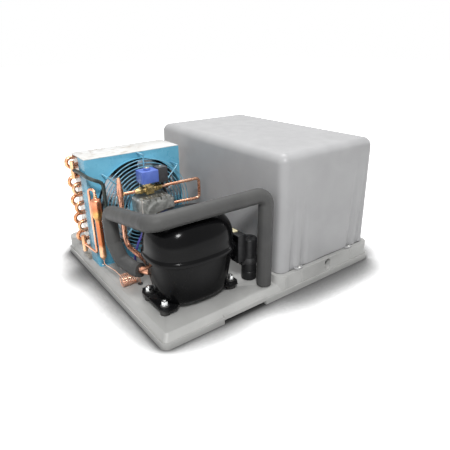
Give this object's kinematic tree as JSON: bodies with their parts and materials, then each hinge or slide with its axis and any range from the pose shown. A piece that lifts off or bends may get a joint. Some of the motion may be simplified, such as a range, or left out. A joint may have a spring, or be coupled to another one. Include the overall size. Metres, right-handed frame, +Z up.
{
  "type": "monoblock refrigeration unit",
  "caption": "Cooling unit on one moulded base: compressor, finned condenser with fan and pipework on one side, insulated evaporator hood with its own fan over air windows on the other.",
  "frame": {"origin": "centre of the bounding box's bottom face, on the underside of the base", "axes": "+X from the condenser side to the covered side, +Y from the front edge with the compressor to the back, +Z up"},
  "size_m": [0.646, 0.56, 0.3309],
  "materials": {
    "moulded_grey": "satin moulded plastic",
    "foam": "closed cell foam",
    "seal_foam": "foam rubber",
    "liner_white": "pressed bead foam",
    "galvanised": "galvanised sheet",
    "fin_aluminium": "thin fin stock",
    "top_white": "white paint",
    "shroud_blue": "gloss blue paint",
    "guard_blue": "coated wire",
    "guard_dark": "coated wire",
    "cast_aluminium": "cast",
    "blade_aluminium": "stamped",
    "steel": "machined",
    "bright_fasteners": "zinc plated",
    "copper": "drawn copper",
    "shell_black": "gloss black paint",
    "iron": "cast",
    "black_rubber": "moulded rubber",
    "black_plastic": "moulded plastic",
    "pale_plastic": "moulded plastic",
    "white_plastic": "moulded plastic",
    "coil_blue": "moulded resin",
    "valve_brass": "forged",
    "lead_violet": "soft jacket"
  },
  "bodies": {
    "frame": {"base_tray": "moulded_grey", "base_foam": "foam", "bottom_pan": "galvanised", "plinth_seal": "seal_foam", "evaporator_cover": "moulded_grey", "cover_screws": "bright_fasteners", "chamber_liner": "liner_white", "drip_tray": "galvanised", "drain_spout": "white_plastic", "tube_grommets": "black_rubber", "cable_gland": "black_plastic", "evaporator_fins": "fin_aluminium", "evaporator_end_plates": "galvanised", "evaporator_tubes": "copper", "evaporator_bends": "copper", "evaporator_fan_plate": "galvanised", "evaporator_fan_guard": "guard_dark", "evaporator_fan_motor": "cast_aluminium", "condenser_fins": "fin_aluminium", "condenser_end_plates": "galvanised", "condenser_tubes": "copper", "condenser_bends": "copper", "condenser_top_plate": "top_white", "fan_shroud": "shroud_blue", "fan_guard": "guard_blue", "fan_motor": "cast_aluminium", "shroud_screws": "bright_fasteners", "compressor_lower_shell": "shell_black", "compressor_upper_shell": "shell_black", "compressor_foot_plates": "shell_black", "compressor_grommets": "black_rubber", "compressor_fasteners": "bright_fasteners", "compressor_stubs": "copper", "compressor_stator": "steel", "compressor_pump": "iron", "compressor_springs": "steel", "relay_cover": "black_plastic", "relay_connector": "pale_plastic", "start_capacitor": "black_plastic", "capacitor_strap": "black_plastic", "discharge_riser": "copper", "discharge_sleeve": "black_rubber", "hot_gas_inlet": "copper", "hot_gas_outlet": "copper", "valve_body": "valve_brass", "valve_coil": "coil_blue", "valve_connector": "black_plastic", "valve_cable": "black_rubber", "fan_motor_lead": "lead_violet", "filter_drier": "copper", "liquid_tube": "copper", "capillary_tube": "copper", "suction_insulation": "seal_foam", "suction_tube": "copper"},
    "condenser_fan": {"fan_blades": "blade_aluminium", "fan_shaft": "steel"},
    "evaporator_fan": {"evaporator_fan_blades": "blade_aluminium", "evaporator_fan_shaft": "steel"},
    "crankshaft": {"compressor_rotor": "steel"},
    "plunger": {"valve_plunger": "steel"}
  },
  "joints": [
    {"name": "condenser_fan_spin", "type": "hinge", "parent": "frame", "child": "condenser_fan", "pos_m": [-0.169, 0.082, 0.168], "axis": [0, 1, 0], "continuous": true},
    {"name": "evaporator_fan_spin", "type": "hinge", "parent": "frame", "child": "evaporator_fan", "pos_m": [0.15525, 0.004, 0.177], "axis": [0, 1, 0], "continuous": true},
    {"name": "crankshaft_spin", "type": "hinge", "parent": "frame", "child": "crankshaft", "pos_m": [-0.186, -0.173, 0.1], "axis": [0, 0, 1], "continuous": true},
    {"name": "valve_plunger_slide", "type": "slide", "parent": "frame", "child": "plunger", "axis": [0, 0, 1], "range_m": [0, 0.0025], "stiffness_N_per_m": 300, "springref_m": -0.002}
  ]
}
